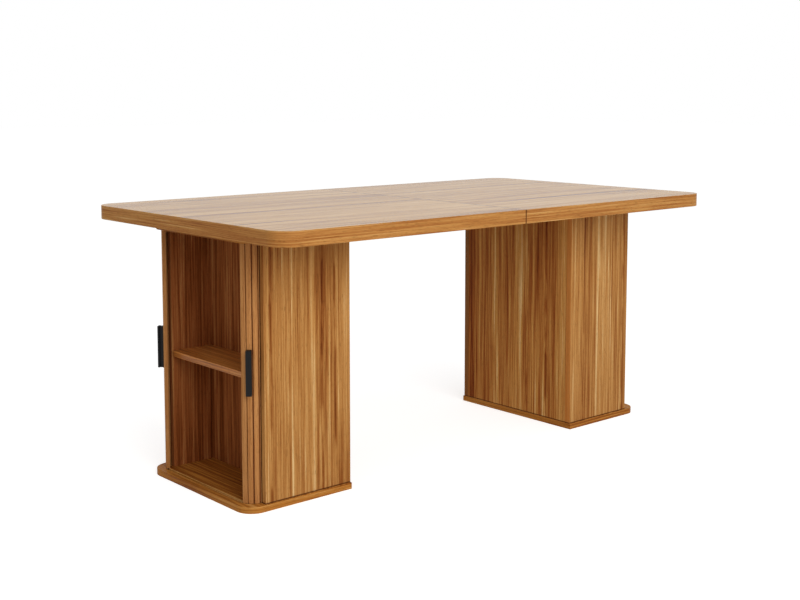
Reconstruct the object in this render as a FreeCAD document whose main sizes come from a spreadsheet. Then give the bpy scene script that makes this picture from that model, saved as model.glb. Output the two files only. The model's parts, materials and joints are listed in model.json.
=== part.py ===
import FreeCAD, Part
import math
import os
import Sketcher

# Dining table on two pedestal cabinets with roller doors. Millimetres, +Z up.
# The origin is on the floor under the middle of the top, +X runs along the length.
# Each pedestal is drawn once with its doors towards +X; the left one is turned by 180 degrees.

Vector = FreeCAD.Vector
up = Vector(0, 0, 1)
doc = FreeCAD.newDocument("DiningTable")

# ---------------------------------------------------------------- driving sizes

sizeRows = [
    ("topLength", 1690, "length of the table top"),
    ("topWidth", 945, "width of the table top"),
    ("tableHeight", 765, "floor to the upper face"),
    ("topThick", 40, "thickness of the top"),
    ("topCorner", 60, "corner radius of the top"),
    ("bandThick", 1.5, "edge banding"),
    ("bandRound", 1.0, "rounded arrises of the banding"),
    ("seamGap", 0.4, "joint between the two halves of the top"),
    ("footInset", 45, "end of the top to the base plate"),
    ("plateDepth", 345, "base plate along X"),
    ("plateWidth", 500, "base plate along Y"),
    ("plateThick", 18, "base plate thickness"),
    ("plateCorner", 50, "outer corner radius of the base plate"),
    ("plateRound", 1, "rounded arrises of the base plate and the cabinet top"),
    ("sideThick", 18, "side panel thickness"),
    ("sideRound", 0.8, "rounded front arrises of the side panels and inner walls"),
    ("sideLedge", 5, "base plate edge to the side panel"),
    ("endInset", 1, "base plate edge to the ends of the side panels"),
    ("endThick", 16, "end panel thickness"),
    ("endRecess", 1, "end panel behind the ends of the side panels"),
    ("capThick", 16, "cabinet top thickness"),
    ("capInset", 12, "base plate edge to the cabinet top edge, door side"),
    ("capCorner", 46, "corner radius of the cabinet top"),
    ("linerThick", 16, "inner wall thickness"),
    ("linerLead", 10, "inner wall ahead of the side panel"),
    ("linerGap", 2.4, "track groove to the inner wall"),
    ("compartmentDepth", 131, "inner wall edge to the back panel"),
    ("backThick", 16, "back panel thickness"),
    ("shelfThick", 16, "shelf thickness"),
    ("shelfTop", 358, "floor to the shelf's upper face"),
    ("shelfInset", 1, "inner wall edge to the shelf edge"),
    ("shelfGap", 0.3, "shelf to the walls round it"),
    ("shelfRound", 1.0, "rounded front arrises of the shelf"),
    ("pegRadius", 2.5, "shelf peg radius"),
    ("pegHold", 9, "shelf peg inside the wall"),
    ("pegReach", 8, "shelf peg outside the wall"),
    ("pegInset", 22, "shelf peg from the shelf's edges"),
    ("pegGap", 0.1, "peg to its hole"),
    ("trackMargin", 20, "base plate edge to the closed door"),
    ("slatRadius", 39, "outer face of the slats on the corner"),
    ("slatClear", 1, "slats to the side panel"),
    ("slatThick", 5, "slat thickness"),
    ("slatWidth", 14.53, "slat width"),
    ("slatGap", 0.3, "joint between two slats"),
    ("slatRound", 1.2, "rounded front arrises of a slat"),
    ("slatCount", 19, "slats of one door, leading stile and tail included"),
    ("tailCount", 2, "slats that never leave the straight pocket"),
    ("slatFoot", 0.8, "slat face to the plates above and below"),
    ("grooveProud", 0.6, "track groove beyond the slats' outer face"),
    ("grooveWide", 8.2, "track groove width"),
    ("grooveDeep", 5, "lower track depth"),
    ("grooveHigh", 7, "upper track depth"),
    ("pocketSpare", 4, "track beyond the opened door"),
    ("tongueWide", 8, "slat tongue width"),
    ("tongueThick", 3, "slat tongue thickness"),
    ("tongueInset", 1, "slat face to its tongue"),
    ("tongueGap", 0.3, "tongue or pin to the track's floor"),
    ("clothThick", 0.6, "canvas behind the slats"),
    ("clothGap", 0.3, "slats to the canvas"),
    ("clothInset", 14, "canvas from the ends of the slats"),
    ("clothLead", 0.65, "joint of the stile to the canvas"),
    ("clothTail", 1, "canvas end to the end of the last slat"),
    ("stileBack", 6, "back strip of the leading stile"),
    ("stileRound", 1.5, "rounded back arrises of the stile"),
    ("pinRadius", 1.6, "guide pin radius"),
    ("pinHold", 10, "guide pin inside the stile"),
    ("pinGap", 0.1, "guide pin to its bore"),
    ("doorGap", 0.8, "between two closed doors"),
    ("openAngle", 10.5, "corner angle near which the opened stile's edge stops"),
    ("handleLong", 120, "handle height"),
    ("handleMid", 370, "floor to the middle of the handle"),
    ("handleWide", 15.6, "width of the handle's front flange"),
    ("handleNarrow", 13.6, "width of the handle's rear flange"),
    ("handleOut", 17.5, "handle projection"),
    ("handleFace", 5.5, "handle front flange"),
    ("handleFoot", 2.5, "handle rear flange"),
    ("handleWeb", 7, "handle web thickness"),
    ("handleRound", 1.4, "rounded long arrises of the handle"),
    ("handleEndRound", 1, "rounded end arrises of the handle"),
    ("studRadius", 2, "handle stud radius"),
    ("studInset", 20, "handle end to its stud"),
    ("studGap", 0.2, "handle stud to its hole"),
    ("studShort", 0.4, "stud end to the back of the slat"),
    ("railEndGap", 16, "steel rail under the top to each cabinet"),
    ("railWide", 30, "rail width"),
    ("railHigh", 20, "rail height"),
    ("railWall", 1.5, "rail wall"),
    ("railCorner", 2.5, "outer corner radius of the rail"),
    ("railSpread", 240, "between the rails' middles"),
    ("railScrewInset", 60, "rail end to its outer screws"),
    ("railScrewSeam", 60, "seam to the rail's inner screws"),
    ("dowelRadius", 5, "seam dowel radius"),
    ("dowelLong", 50, "seam dowel length"),
    ("dowelSpread", 720, "between the outer seam dowels"),
    ("dowelCount", 5, "seam dowels"),
    ("dowelGap", 0.1, "dowel to its hole"),
    ("screwRadius", 2.2, "screw shank radius"),
    ("screwHead", 4.2, "screw head radius"),
    ("screwSink", 2.6, "screw head height"),
    ("screwTip", 4, "screw point length"),
    ("screwGap", 0.1, "screw to its hole"),
    ("screwFlush", 0.2, "screw head below the surface"),
    ("carcassScrew", 48, "carcass screw length"),
    ("topScrew", 34, "length of a screw through the cabinet top"),
    ("railScrew", 42, "length of a screw through a rail"),
    ("panelScrewInset", 40, "side panel end to its outer screws"),
    ("linerScrewInset", 25, "inner wall end to its screws"),
    ("backScrewSpread", 200, "between the screws of the back panel"),
    ("endScrewSpread", 300, "between the screws of the end panel"),
    ("topScrewSpread", 280, "between the outer screws into the top"),
    ("topScrewInset", 30, "compartment front and back to these screws"),
]

# Places that follow from the sizes, in the frame of the pedestal whose doors face +X.
placeRows = [
    ("halfLength", "sizes.topLength / 2"),
    ("halfWidth", "sizes.topWidth / 2"),
    ("topUnder", "sizes.tableHeight - sizes.topThick"),
    ("seamX", "sizes.seamGap / 2"),
    ("boardEnd", "halfLength - sizes.bandThick"),
    ("boardSide", "halfWidth - sizes.bandThick"),
    ("boardCorner", "sizes.topCorner - sizes.bandThick"),
    ("plateOuter", "halfLength - sizes.footInset"),
    ("plateInner", "plateOuter - sizes.plateDepth"),
    ("plateHalf", "sizes.plateWidth / 2"),
    ("panelFace", "plateHalf - sizes.sideLedge"),
    ("panelInside", "panelFace - sizes.sideThick"),
    ("panelMid", "panelFace - sizes.sideThick / 2"),
    ("carcassInner", "plateInner + sizes.endInset"),
    ("endInner", "carcassInner + sizes.endRecess"),
    ("endOuter", "endInner + sizes.endThick"),
    ("endMid", "endInner + sizes.endThick / 2"),
    ("arcX", "plateOuter - sizes.trackMargin - sizes.slatRadius"),
    ("arcY", "panelInside - sizes.slatClear - sizes.slatRadius"),
    ("hingeRadius", "sizes.slatRadius - sizes.slatThick"),
    ("pinTrack", "sizes.slatRadius - sizes.slatThick / 2"),
    ("grooveOuter", "sizes.slatRadius + sizes.grooveProud"),
    ("grooveInner", "grooveOuter - sizes.grooveWide"),
    ("grooveFloor", "sizes.plateThick - sizes.grooveDeep"),
    ("trackOuterX", "arcX + grooveOuter"),
    ("trackInnerX", "arcX + grooveInner"),
    ("trackOuterY", "arcY + grooveOuter"),
    ("trackInnerY", "arcY + grooveInner"),
    ("capUnder", "topUnder - sizes.capThick"),
    ("wallHigh", "capUnder - sizes.plateThick"),
    ("capOuter", "plateOuter - sizes.capInset"),
    ("linerOuter", "arcY + grooveInner - sizes.linerGap"),
    ("linerInside", "linerOuter - sizes.linerThick"),
    ("linerMid", "linerOuter - sizes.linerThick / 2"),
    ("linerFront", "arcX + sizes.linerLead"),
    ("backFront", "linerFront - sizes.compartmentDepth"),
    ("backRear", "backFront - sizes.backThick"),
    ("backMid", "backFront - sizes.backThick / 2"),
    ("shelfUnder", "sizes.shelfTop - sizes.shelfThick"),
    ("shelfFront", "linerFront - sizes.shelfInset"),
    ("shelfRear", "backFront + sizes.shelfGap"),
    ("shelfSide", "linerInside - sizes.shelfGap"),
    ("pegHigh", "shelfUnder - sizes.pegRadius"),
    ("slatPitch", "sizes.slatWidth + sizes.slatGap"),
    ("quarter", "hingeRadius * pi / 2"),
    ("closedEdge", "sizes.doorGap / 2"),
    ("openReach", "arcY + hingeRadius * sizes.openAngle * pi / 180"),
    ("travelSlats", "round((openReach - closedEdge) / slatPitch)"),
    ("openEdge", "closedEdge + travelSlats * slatPitch"),
    ("doorLong", "sizes.slatCount * slatPitch"),
    ("pocketEnd", "arcX - (openEdge + doorLong - arcY - quarter) - sizes.pocketSpare"),
    ("slatLow", "sizes.plateThick + sizes.slatFoot"),
    ("slatHigh", "capUnder - sizes.slatFoot"),
    ("tongueLow", "grooveFloor + sizes.tongueGap"),
    ("tongueHigh", "capUnder + sizes.grooveDeep"),
    ("slatLong", "slatHigh - slatLow"),
    ("slatSide", "sizes.slatWidth / 2"),
    ("tongueLong", "tongueHigh - tongueLow"),
    ("tongueSide", "sizes.tongueWide / 2"),
    ("tongueFront", "sizes.slatRadius - sizes.tongueInset"),
    ("tongueBack", "tongueFront - sizes.tongueThick"),
    ("stileRear", "hingeRadius - sizes.stileBack"),
    ("pinBore", "sizes.pinRadius + sizes.pinGap"),
    ("boreDeep", "sizes.pinHold + sizes.pinGap"),
    ("clothOuter", "hingeRadius - sizes.clothGap"),
    ("clothInner", "clothOuter - sizes.clothThick"),
    ("clothLow", "slatLow + sizes.clothInset"),
    ("clothLong", "slatLong - sizes.clothInset * 2"),
    ("handleLow", "sizes.handleMid - sizes.handleLong / 2"),
    ("handleHigh", "handleLow + sizes.handleLong"),
    ("studLow", "handleLow + sizes.studInset"),
    ("studHigh", "handleHigh - sizes.studInset"),
    ("studHole", "sizes.studRadius + sizes.studGap"),
    ("studEnd", "hingeRadius + sizes.studShort"),
    ("studLong", "sizes.slatRadius - studEnd"),
    ("footFace", "sizes.slatRadius + sizes.handleFoot"),
    ("handleTip", "sizes.slatRadius + sizes.handleOut"),
    ("faceBack", "handleTip - sizes.handleFace"),
    ("faceSide", "sizes.handleWide / 2"),
    ("footSide", "sizes.handleNarrow / 2"),
    ("webSide", "sizes.handleWeb / 2"),
    ("railHalf", "carcassInner - sizes.railEndGap"),
    ("railLong", "railHalf * 2"),
    ("railSide", "sizes.railWide / 2"),
    ("railLow", "topUnder - sizes.railHigh"),
    ("boreSide", "railSide - sizes.railWall"),
    ("boreLow", "railLow + sizes.railWall"),
    ("boreHigh", "topUnder - sizes.railWall"),
    ("boreCorner", "sizes.railCorner - sizes.railWall"),
]


def makeSheet(name, rows):
    sheet = doc.addObject("Spreadsheet::Sheet", name)
    for number, (alias, content, note) in enumerate(rows, 1):
        sheet.set(f"A{number}", alias)
        sheet.set(f"B{number}", content)
        sheet.set(f"C{number}", note)
        sheet.setAlias(f"B{number}", alias)
    doc.recompute()
    return {alias: float(sheet.get(alias)) for alias, content, note in rows}


size = makeSheet("sizes", [(alias, str(value), note) for alias, value, note in sizeRows])
place = makeSheet("places", [(alias, "=" + rule, "") for alias, rule in placeRows])
known = {"sizes." + alias: value for alias, value in size.items()}
known.update({"places." + alias: value for alias, value in place.items()})
pieces = {}


def bind(item, rules):
    for setting, rule in rules.items():
        item.setExpression(setting, rule)


def turned(turn):
    return FreeCAD.Placement(Vector(), FreeCAD.Rotation(up, turn))


def keep(label, item, spot=None):
    """Records a finished piece, set where it stands."""
    item.Label = label
    if spot:
        item.Placement = spot
    pieces[label] = item
    return item


# ---------------------------------------------------------------- drawing helpers

def newBody(name):
    return doc.addObject("PartDesign::Body", name)


def newSketch(body, role, name, lift=None):
    sketch = body.newObject("Sketcher::SketchObject", name)
    plane = [item for item in body.Origin.OriginFeatures if item.Role == role][0]
    sketch.AttachmentSupport = [(plane, "")]
    sketch.MapMode = "FlatFace"
    if lift:
        bind(sketch, {"AttachmentOffset.Base.z": lift})
    return sketch


def numberOf(rule):
    return -known[rule[1:]] if rule.startswith("-") else known[rule]


def outline(sketch, corners):
    """Closed outline of level and upright lines through (x, y) or (x, y, radius) corners."""
    points = [[numberOf(rule) for rule in corner] for corner in corners]
    count = len(points)
    first = sketch.GeometryCount
    starts = []
    ends = []
    for index, point in enumerate(points):
        spot = Vector(point[0], point[1], 0)
        back = Vector(*points[index - 1][:2], 0) - spot
        ahead = Vector(*points[(index + 1) % count][:2], 0) - spot
        radius = point[2] if len(point) > 2 else 0
        ends.append(spot + back.normalize() * radius)
        starts.append(spot + ahead.normalize() * radius)
    for index in range(count):
        after = (index + 1) % count
        line = sketch.addGeometry(Part.LineSegment(starts[index], ends[after]))
        level = abs(points[index][1] - points[after][1]) < 1e-6
        sketch.addConstraint(Sketcher.Constraint("Horizontal" if level else "Vertical", line))
        kind, side = ("DistanceY", 1) if level else ("DistanceX", 0)
        rule = Sketcher.Constraint(kind, -1, 1, line, 1, points[index][side])
        datum = sketch.addConstraint(rule)
        bind(sketch, {f"Constraints[{datum}]": corners[index][side]})
    for index in range(count):
        entering = (index - 1) % count
        if len(corners[index]) == 2:
            joint = Sketcher.Constraint("Coincident", first + entering, 2, first + index, 1)
            sketch.addConstraint(joint)
            continue
        spot = Vector(points[index][0], points[index][1], 0)
        middle = spot + (starts[index] + ends[index] - spot * 2) * (1 - math.sqrt(0.5))
        arc = sketch.addGeometry(Part.Arc(ends[index], middle, starts[index]))
        entry, leave = (1, 2) if (sketch.getPoint(arc, 1) - ends[index]).Length < 1e-4 else (2, 1)
        sketch.addConstraint(Sketcher.Constraint("Tangent", first + entering, 2, arc, entry))
        sketch.addConstraint(Sketcher.Constraint("Tangent", arc, leave, first + index, 1))
        datum = sketch.addConstraint(Sketcher.Constraint("Radius", arc, points[index][2]))
        bind(sketch, {f"Constraints[{datum}]": corners[index][2]})


def circle(sketch, x, y, radius):
    """Circle about (x, y); None puts its middle on the axis."""
    spot = Vector(numberOf(x) if x else 0, numberOf(y) if y else 0, 0)
    ring = sketch.addGeometry(Part.Circle(spot, up, numberOf(radius)))
    for kind, rule, axis in (("DistanceX", x, -2), ("DistanceY", y, -1)):
        if rule:
            datum = sketch.addConstraint(Sketcher.Constraint(kind, -1, 1, ring, 3, numberOf(rule)))
            bind(sketch, {f"Constraints[{datum}]": rule})
        else:
            sketch.addConstraint(Sketcher.Constraint("PointOnObject", ring, 3, axis))
    datum = sketch.addConstraint(Sketcher.Constraint("Radius", ring, numberOf(radius)))
    bind(sketch, {f"Constraints[{datum}]": radius})


def pad(body, sketch, name, length):
    feature = body.newObject("PartDesign::Pad", name)
    feature.Profile = sketch
    bind(feature, {"Length": length})
    sketch.Visibility = False
    return feature


def pocket(body, sketch, name, length, reverse=False):
    feature = body.newObject("PartDesign::Pocket", name)
    feature.Profile = sketch
    feature.Reversed = reverse
    bind(feature, {"Length": length})
    return feature


def roundEdges(body, feature, name, radius, wanted):
    """Fillets the edges of a feature for which wanted(edge) holds."""
    doc.recompute()
    edges = feature.Shape.Edges
    picked = [f"Edge{number}" for number, edge in enumerate(edges, 1) if wanted(edge)]
    fillet = body.newObject("PartDesign::Fillet", name)
    fillet.Base = (feature, picked)
    bind(fillet, {"Radius": radius})
    return fillet


def isLevelAt(edge, height):
    box = edge.BoundBox
    return abs(box.ZMin - height) < 1e-4 and abs(box.ZMax - height) < 1e-4


def board(name, xs, ys, low, long, front=None):
    """Body and pad of a board standing on low, between two xs and two ys, front corners rounded."""
    body = newBody(name)
    sketch = newSketch(body, "XY_Plane", name + "Outline", low)
    rounding = (front,) if front else ()
    outline(sketch, [
        (xs[0], ys[0]),
        (xs[1], ys[0]) + rounding,
        (xs[1], ys[1]) + rounding,
        (xs[0], ys[1]),
    ])
    return body, pad(body, sketch, name + "Pad", long)


def shaped(name, shape):
    feature = doc.addObject("Part::Feature", name)
    feature.Shape = shape
    return feature


def grouped(name, links):
    group = doc.addObject("Part::Compound", name)
    group.Links = links
    return group


def drilled(name, blank, tool):
    cut = doc.addObject("Part::Cut", name)
    cut.Base = blank
    cut.Tool = tool
    return cut


# ---------------------------------------------------------------- fasteners

def screw(x, y, z, length, way, gap=0.0):
    """Countersunk screw with its head at z, driven up (way 1) or down (way -1)."""
    shank = size["screwRadius"] + gap
    head = size["screwHead"] + gap
    profile = [(head, 0), (shank, size["screwSink"]), (shank, length - size["screwTip"])]
    profile += [(shank / 4, length + gap), (0, length + gap)]
    if gap:
        mouth = -2 * size["screwFlush"]
        profile = [(0, mouth), (head, mouth)] + profile
    else:
        profile = [(0, 0)] + profile
    points = [Vector(x + out, y, z + way * along) for out, along in profile]
    return Part.Face(Part.makePolygon(points + points[:1])).revolve(Vector(x, y, z), up, 360)


def screwGroup(spots, z, length, way, gap=0.0):
    return [screw(x, y, z, length, way, gap) for x, y in spots]


def mirrored(x, y):
    return [(x, -y), (x, y)]


panelEnds = (place["carcassInner"] + size["panelScrewInset"], place["arcX"] - size["panelScrewInset"])
panelXs = (panelEnds[0], sum(panelEnds) / 2, panelEnds[1])
linerRear = place["backRear"] + size["linerScrewInset"]
linerXs = (linerRear, place["linerFront"] - size["linerScrewInset"])
carcassSpots = [spot for x in panelXs for spot in mirrored(x, place["panelMid"])]
carcassSpots += [spot for x in linerXs for spot in mirrored(x, place["linerMid"])]
carcassSpots += mirrored(place["backMid"], size["backScrewSpread"] / 2)
carcassSpots += mirrored(place["endMid"], size["endScrewSpread"] / 2)
topRear = place["backFront"] + size["topScrewInset"]
topXs = (topRear, place["linerFront"] - size["topScrewInset"])
topSpots = [(x, side * size["topScrewSpread"] / 2) for x in topXs for side in (-1, 0, 1)]
railY = size["railSpread"] / 2
railEnd = place["railHalf"] - size["railScrewInset"]
railXs = (-railEnd, -size["railScrewSeam"], size["railScrewSeam"], railEnd)


def carcassScrews(gap=0.0):
    under = size["screwFlush"]
    above = place["topUnder"] - size["screwFlush"]
    low = screwGroup(carcassSpots, under, size["carcassScrew"], 1, gap)
    return Part.makeCompound(low + screwGroup(carcassSpots, above, size["carcassScrew"], -1, gap))


def topScrews(gap=0.0):
    head = place["capUnder"] + size["screwFlush"]
    return Part.makeCompound(screwGroup(topSpots, head, size["topScrew"], 1, gap))


def railScrews(ys, gap=0.0):
    spots = [(x, y) for x in railXs for y in ys]
    head = place["railLow"] + size["screwFlush"]
    return Part.makeCompound(screwGroup(spots, head, size["railScrew"], 1, gap))


def seamDowels(gap=0.0):
    """Dowels along the seam, half in each board."""
    height = place["topUnder"] + size["topThick"] / 2
    between = size["dowelSpread"] / (size["dowelCount"] - 1)
    half = size["dowelLong"] / 2 + gap
    dowels = []
    for number in range(int(size["dowelCount"])):
        start = Vector(-half, number * between - size["dowelSpread"] / 2, height)
        dowels.append(Part.makeCylinder(size["dowelRadius"] + gap, half * 2, start, Vector(1, 0, 0)))
    return Part.makeCompound(dowels)


def shelfPegs(gap=0.0):
    radius = size["pegRadius"] + gap
    pegs = []
    for x in (place["shelfRear"] + size["pegInset"], place["shelfFront"] - size["pegInset"]):
        for side in (-1, 1):
            start = Vector(x, side * (place["linerInside"] + size["pegHold"] + gap), place["pegHigh"])
            reach = size["pegHold"] + size["pegReach"]
            pegs.append(Part.makeCylinder(radius, reach, start, Vector(0, -side, 0)))
    return Part.makeCompound(pegs)


bothTopScrews = [topScrews(), topScrews()]
bothTopScrews[1].Placement = turned(180)
keep("top_screws", shaped("topScrews", Part.makeCompound(bothTopScrews)))
keep("rail_screws", shaped("railScrews", railScrews((-railY, railY))))
keep("seam_dowels", shaped("seamDowels", seamDowels()))
carcassHoles = shaped("carcassHoles", carcassScrews(size["screwGap"]))
topHoles = shaped("topHoles", topScrews(size["screwGap"]))
railHoles = shaped("railHoles", railScrews((-railY, railY), size["screwGap"]))
tubeHoles = shaped("tubeHoles", railScrews((0,), size["screwGap"]))
dowelHoles = shaped("dowelHoles", seamDowels(size["dowelGap"]))
pegHoles = shaped("pegHoles", shelfPegs(size["pegGap"]))
boardTools = grouped("boardTools", [topHoles, railHoles, dowelHoles])
capTools = grouped("capTools", [carcassHoles, topHoles])
wallTools = grouped("wallTools", [carcassHoles, pegHoles])

# ---------------------------------------------------------------- table top

def topBoard(name):
    body = newBody(name)
    sketch = newSketch(body, "XY_Plane", name + "Outline", "places.topUnder")
    outline(sketch, [
        ("places.seamX", "-places.boardSide"),
        ("places.boardEnd", "-places.boardSide", "places.boardCorner"),
        ("places.boardEnd", "places.boardSide", "places.boardCorner"),
        ("places.seamX", "places.boardSide"),
    ])
    pad(body, sketch, name + "Pad", "sizes.topThick")
    return body


def isOuterArris(edge):
    """Long edge of a band on its outer face."""
    box = edge.BoundBox
    level = isLevelAt(edge, place["topUnder"]) or isLevelAt(edge, size["tableHeight"])
    outside = box.XMax > place["boardEnd"] + 1e-3 or max(box.YMax, -box.YMin) > place["boardSide"] + 1e-3
    return level and outside and max(box.XLength, box.YLength) > size["bandThick"] * 2


def edgeBand(name):
    body = newBody(name)
    sketch = newSketch(body, "XY_Plane", name + "Outline", "places.topUnder")
    outline(sketch, [
        ("places.seamX", "-places.halfWidth"),
        ("places.halfLength", "-places.halfWidth", "sizes.topCorner"),
        ("places.halfLength", "places.halfWidth", "sizes.topCorner"),
        ("places.seamX", "places.halfWidth"),
        ("places.seamX", "places.boardSide"),
        ("places.boardEnd", "places.boardSide", "places.boardCorner"),
        ("places.boardEnd", "-places.boardSide", "places.boardCorner"),
        ("places.seamX", "-places.boardSide"),
    ])
    strip = pad(body, sketch, name + "Pad", "sizes.topThick")
    roundEdges(body, strip, name + "Round", "sizes.bandRound", isOuterArris)
    return body


for side, turn in (("right", 0), ("left", 180)):
    blank = topBoard(side + "Blank")
    keep(f"top_board_{side}", drilled(side + "Board", blank, boardTools), turned(turn))
    keep(f"edge_band_{side}", edgeBand(side + "Band"), turned(turn))

# ---------------------------------------------------------------- steel rails

def tube(name):
    """Rectangular tube along X under the middle of the top."""
    body = newBody(name)
    sketch = newSketch(body, "YZ_Plane", name + "Outline", "-places.railHalf")
    outline(sketch, [
        ("-places.railSide", "places.railLow", "sizes.railCorner"),
        ("places.railSide", "places.railLow", "sizes.railCorner"),
        ("places.railSide", "places.topUnder", "sizes.railCorner"),
        ("-places.railSide", "places.topUnder", "sizes.railCorner"),
    ])
    outline(sketch, [
        ("-places.boreSide", "places.boreLow", "places.boreCorner"),
        ("places.boreSide", "places.boreLow", "places.boreCorner"),
        ("places.boreSide", "places.boreHigh", "places.boreCorner"),
        ("-places.boreSide", "places.boreHigh", "places.boreCorner"),
    ])
    pad(body, sketch, name + "Pad", "places.railLong")
    return body


for where, y in (("near", -railY), ("far", railY)):
    spot = FreeCAD.Placement(Vector(0, y, 0), FreeCAD.Rotation())
    keep(f"stretcher_rail_{where}", drilled(where + "Rail", tube(where + "Tube"), tubeHoles), spot)

# ---------------------------------------------------------------- cabinets

plateOutline = [
    ("places.plateInner", "-places.plateHalf"),
    ("places.plateOuter", "-places.plateHalf", "sizes.plateCorner"),
    ("places.plateOuter", "places.plateHalf", "sizes.plateCorner"),
    ("places.plateInner", "places.plateHalf"),
]
capOutline = [
    ("places.carcassInner", "-places.panelFace"),
    ("places.capOuter", "-places.panelFace", "sizes.capCorner"),
    ("places.capOuter", "places.panelFace", "sizes.capCorner"),
    ("places.carcassInner", "places.panelFace"),
]
trackOutline = [
    ("places.pocketEnd", "-places.trackOuterY"),
    ("places.trackOuterX", "-places.trackOuterY", "places.grooveOuter"),
    ("places.trackOuterX", "places.trackOuterY", "places.grooveOuter"),
    ("places.pocketEnd", "places.trackOuterY"),
    ("places.pocketEnd", "places.trackInnerY"),
    ("places.trackInnerX", "places.trackInnerY", "places.grooveInner"),
    ("places.trackInnerX", "-places.trackInnerY", "places.grooveInner"),
    ("places.pocketEnd", "-places.trackInnerY"),
]


def grooved(name, corners, low, thick, rim, face, deep, upward):
    """Plate with the track of both doors cut into one face and the edges at rim rounded."""
    body = newBody(name)
    sketch = newSketch(body, "XY_Plane", name + "Outline", low)
    outline(sketch, corners)
    slab = pad(body, sketch, name + "Pad", thick)
    roundEdges(body, slab, name + "Round", "sizes.plateRound", lambda edge: isLevelAt(edge, rim))
    track = newSketch(body, "XY_Plane", name + "Track", face)
    outline(track, trackOutline)
    pocket(body, track, name + "Groove", deep, upward)
    return body


def wall(name, xs, ys, tools, front=None):
    """Drilled wall between the base plate and the cabinet top."""
    blank, whole = board(name + "Blank", xs, ys, "sizes.plateThick", "places.wallHigh", front)
    return drilled(name, blank, tools)


def isShelfFront(edge):
    box = edge.BoundBox
    return box.XMin > place["shelfFront"] - 1e-4 and box.YLength > size["shelfThick"]


def cabinet(side, turn):
    spot = turned(turn)
    plate = grooved(side + "PlateBlank", plateOutline, None, "sizes.plateThick",
                    size["plateThick"], "sizes.plateThick", "sizes.grooveDeep", False)
    keep(f"{side}_base_plate", drilled(side + "Plate", plate, carcassHoles), spot)
    cap = grooved(side + "CapBlank", capOutline, "places.capUnder", "sizes.capThick",
                  place["capUnder"], "places.capUnder", "sizes.grooveHigh", True)
    keep(f"{side}_cabinet_top", drilled(side + "Cap", cap, capTools), spot)

    panelXs = ("places.carcassInner", "places.arcX")
    linerXs = ("places.backRear", "places.linerFront")
    frontYs = ("-places.panelFace", "-places.panelInside"), ("-places.linerOuter", "-places.linerInside")
    rearYs = ("places.panelInside", "places.panelFace"), ("places.linerInside", "places.linerOuter")
    for where, (panelYs, linerYs) in zip(ends[side], (frontYs, rearYs)):
        name = side + where.capitalize()
        panel = wall(name + "Panel", panelXs, panelYs, carcassHoles, "sizes.sideRound")
        keep(f"{side}_side_panel_{where}", panel, spot)
        liner = wall(name + "Liner", linerXs, linerYs, wallTools, "sizes.sideRound")
        keep(f"{side}_liner_{where}", liner, spot)
    endXs = ("places.endInner", "places.endOuter")
    endYs = ("-places.panelInside", "places.panelInside")
    keep(f"{side}_end_panel", wall(side + "End", endXs, endYs, carcassHoles), spot)
    backXs = ("places.backRear", "places.backFront")
    backYs = ("-places.linerInside", "places.linerInside")
    keep(f"{side}_back_panel", wall(side + "Back", backXs, backYs, carcassHoles), spot)

    shelfXs = ("places.shelfRear", "places.shelfFront")
    shelfYs = ("-places.shelfSide", "places.shelfSide")
    shelf, slab = board(side + "Shelf", shelfXs, shelfYs, "places.shelfUnder", "sizes.shelfThick")
    roundEdges(shelf, slab, side + "ShelfRound", "sizes.shelfRound", isShelfFront)
    keep(f"{side}_shelf", shelf, spot)
    keep(f"{side}_shelf_pins", shaped(side + "Pins", shelfPegs()), spot)
    keep(f"{side}_carcass_screws", shaped(side + "Screws", carcassScrews()), spot)


# Names of the two ends of a pedestal, in the order -Y, +Y of its own frame.
ends = {"right": ("near", "far"), "left": ("far", "near")}
for side, turn in (("right", 0), ("left", 180)):
    cabinet(side, turn)

# ---------------------------------------------------------------- roller doors
# A slat is drawn as it stands on the corner, its frame in the middle of the corner's arc.

def slatBody(name, rear=("places.hingeRadius",)):
    body = newBody(name)
    sketch = newSketch(body, "XY_Plane", name + "Outline", "places.slatLow")
    rounding = rear[1:]
    outline(sketch, [
        (rear[0], "-places.slatSide") + rounding,
        ("sizes.slatRadius", "-places.slatSide", "sizes.slatRound"),
        ("sizes.slatRadius", "places.slatSide", "sizes.slatRound"),
        (rear[0], "places.slatSide") + rounding,
    ])
    pad(body, sketch, name + "Pad", "places.slatLong")
    return body


def tonguedSlat():
    body = slatBody("tonguedSlat")
    sketch = newSketch(body, "XY_Plane", "tongueOutline", "places.tongueLow")
    outline(sketch, [
        ("places.tongueBack", "-places.tongueSide"),
        ("places.tongueFront", "-places.tongueSide"),
        ("places.tongueFront", "places.tongueSide"),
        ("places.tongueBack", "places.tongueSide"),
    ])
    pad(body, sketch, "tonguePad", "places.tongueLong")
    return body


def stile(name):
    """Leading slat with a strip behind it, bored at both ends for the guide pins."""
    body = slatBody(name, ("places.stileRear", "sizes.stileRound"))
    for ending, height, upward in (("Low", "places.slatLow", True), ("High", "places.slatHigh", False)):
        sketch = newSketch(body, "XY_Plane", name + ending, height)
        circle(sketch, "places.pinTrack", None, "places.pinBore")
        pocket(body, sketch, name + ending + "Bore", "places.boreDeep", upward)
    return body


def guidePins():
    long = place["slatLow"] + size["pinHold"] - place["tongueLow"]
    starts = (place["tongueLow"], place["tongueHigh"] - long)
    return Part.makeCompound([
        Part.makeCylinder(size["pinRadius"], long, Vector(place["pinTrack"], 0, start)) for start in starts
    ])


def studSketch(body, name, start, radius):
    sketch = newSketch(body, "YZ_Plane", name, start)
    circle(sketch, None, "places.studLow", radius)
    circle(sketch, None, "places.studHigh", radius)
    return sketch


def handleSlat(name):
    body = slatBody(name)
    holes = studSketch(body, name + "Studs", "places.hingeRadius", "places.studHole")
    pocket(body, holes, name + "Holes", "sizes.slatThick", True)
    return body


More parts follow.
